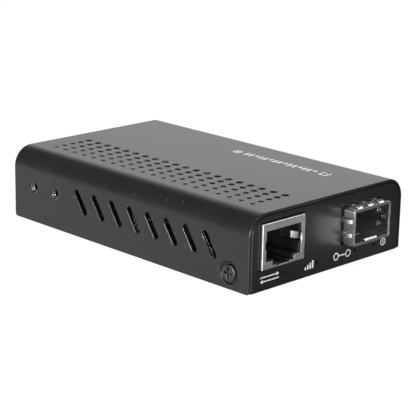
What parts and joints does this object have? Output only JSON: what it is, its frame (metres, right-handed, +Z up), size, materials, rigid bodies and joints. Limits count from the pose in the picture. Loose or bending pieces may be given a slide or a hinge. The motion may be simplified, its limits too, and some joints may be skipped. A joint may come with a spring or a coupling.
{
  "type": "fibre media converter",
  "caption": "Small folded-steel network box with a shielded copper port and a fibre transceiver cage in front, vents on top and sides, and a DC inlet at the rear.",
  "frame": {"origin": "centre of the tray's underside, on the surface it stands on", "axes": "+Z up; the ports face -Y and the DC inlet faces +Y; seen from the front the copper port is on the -X side"},
  "size_m": [0.063, 0.1021, 0.0214],
  "materials": {
    "case_paint": "fine-textured matte black powder coat on steel sheet",
    "screw_black": "black-coated steel screw, satin",
    "plated_steel": "zinc-plated steel",
    "port_shield": "satin nickel-plated sheet",
    "port_insert": "black moulded nylon",
    "contact_gold": "gold-plated contacts",
    "cage_metal": "satin tin-plated sheet",
    "lamp_lens": "clear moulded resin",
    "board_mask": "green solder mask on glass-epoxy board",
    "chip_resin": "black moulded resin with tinned leads",
    "can_metal": "drawn aluminium and steel cans",
    "tinned_brass": "tinned brass",
    "capacitor_body": "tan ceramic",
    "resistor_body": "black glazed film on ceramic"
  },
  "bodies": {
    "root": {"top_cover": "case_paint", "base_tray": "case_paint", "cover_screws": "screw_black", "cover_hooks": "plated_steel", "board_standoffs": "plated_steel", "board_screws": "plated_steel", "rj45_shell": "port_shield", "rj45_housing": "port_insert", "sfp_connector_body": "port_insert", "dc_jack_body": "port_insert", "rj45_contacts": "contact_gold", "sfp_connector_contacts": "contact_gold", "sfp_cage": "cage_metal", "sfp_spring_collar": "cage_metal", "status_leds": "lamp_lens", "circuit_board": "board_mask", "magnetics_module": "chip_resin", "converter_chip": "chip_resin", "memory_chip": "chip_resin", "regulator_chip": "chip_resin", "input_diode": "chip_resin", "power_inductor": "chip_resin", "clock_crystal": "can_metal", "electrolytic_capacitors": "can_metal", "dc_jack_pin": "tinned_brass", "dc_jack_spring": "tinned_brass", "chip_capacitors": "capacitor_body", "chip_resistors": "resistor_body"}
  },
  "joints": []
}
